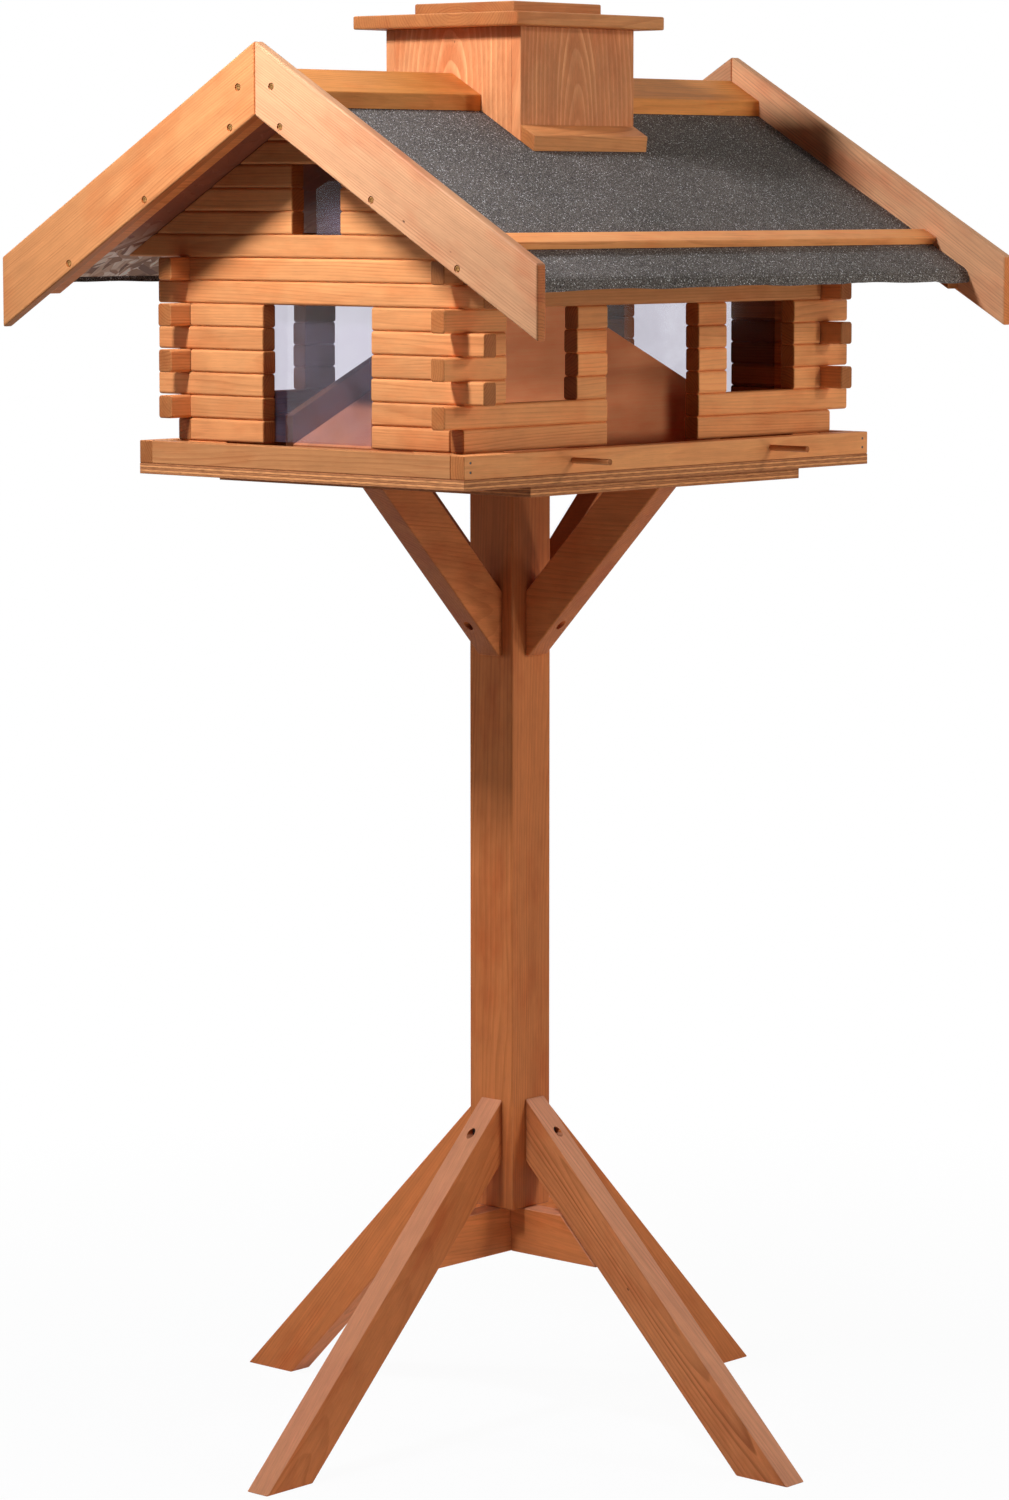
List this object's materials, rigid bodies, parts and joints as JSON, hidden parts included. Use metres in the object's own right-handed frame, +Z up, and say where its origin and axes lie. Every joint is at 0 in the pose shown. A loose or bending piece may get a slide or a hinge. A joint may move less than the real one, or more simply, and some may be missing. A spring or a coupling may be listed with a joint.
{
  "type": "bird table",
  "caption": "Free-standing bird table: log-built house with felted gable roof, seed shaft filled through a chimney with lift-off lid, on a post with splayed legs.",
  "frame": {"origin": "on the ground under the middle of the post", "axes": "+Z up; X along the roof ridge; the long front side with the perches faces -Y"},
  "size_m": [0.74, 0.74, 1.4381],
  "materials": {
    "house_timber": "honey-brown stained softwood, satin",
    "stand_timber": "red-brown stained softwood, satin",
    "plywood": "stained plywood, plies seen on the edges",
    "inner_board": "brown stained board, satin",
    "flake_board": "bare flake board, matte",
    "roof_felt": "dark mineral-surfaced roofing felt",
    "clear_pane": "clear sheet, slightly hazed",
    "brass_screws": "satin",
    "steel_screws": "dull"
  },
  "bodies": {
    "table": {"back_logs_full": "house_timber", "back_logs_left": "house_timber", "back_logs_right": "house_timber", "barge_left_back": "house_timber", "barge_left_front": "house_timber", "barge_right_back": "house_timber", "barge_right_front": "house_timber", "barge_screws": "brass_screws", "batten_back": "house_timber", "batten_front": "house_timber", "brace_back": "stand_timber", "brace_front": "stand_timber", "brace_left": "stand_timber", "brace_right": "stand_timber", "chimney_back": "house_timber", "chimney_front": "house_timber", "chimney_left": "house_timber", "chimney_right": "house_timber", "chimney_strips": "house_timber", "cross_board_x": "stand_timber", "cross_board_y": "stand_timber", "felt_back": "roof_felt", "felt_front": "roof_felt", "floor_plate": "plywood", "front_logs_full": "house_timber", "front_logs_left": "house_timber", "front_logs_right": "house_timber", "left_gable_logs_back": "house_timber", "left_gable_logs_front": "house_timber", "left_gable_logs_full": "house_timber", "leg_back": "stand_timber", "leg_front": "stand_timber", "leg_left": "stand_timber", "leg_right": "stand_timber", "mounting_plate": "plywood", "pane_left": "clear_pane", "pane_right": "clear_pane", "perches": "house_timber", "post": "stand_timber", "rafters": "house_timber", "ridge_boards": "house_timber", "right_gable_logs_back": "house_timber", "right_gable_logs_front": "house_timber", "right_gable_logs_full": "house_timber", "rim_back": "house_timber", "rim_front": "house_timber", "rim_left": "house_timber", "rim_nails": "steel_screws", "rim_right": "house_timber", "roof_panel_back": "flake_board", "roof_panel_front": "flake_board", "seed_slopes": "inner_board", "shaft_boards": "inner_board", "silo_panel_back": "inner_board", "silo_panel_front": "inner_board", "stand_screws": "steel_screws", "upper_panes": "clear_pane"},
    "lid": {"lid_crown": "house_timber", "lid_plate": "house_timber"}
  },
  "joints": [
    {"name": "lid_lift", "type": "slide", "parent": "table", "child": "lid", "axis": [0, 0, 1], "range_m": [0, 0.15]}
  ]
}
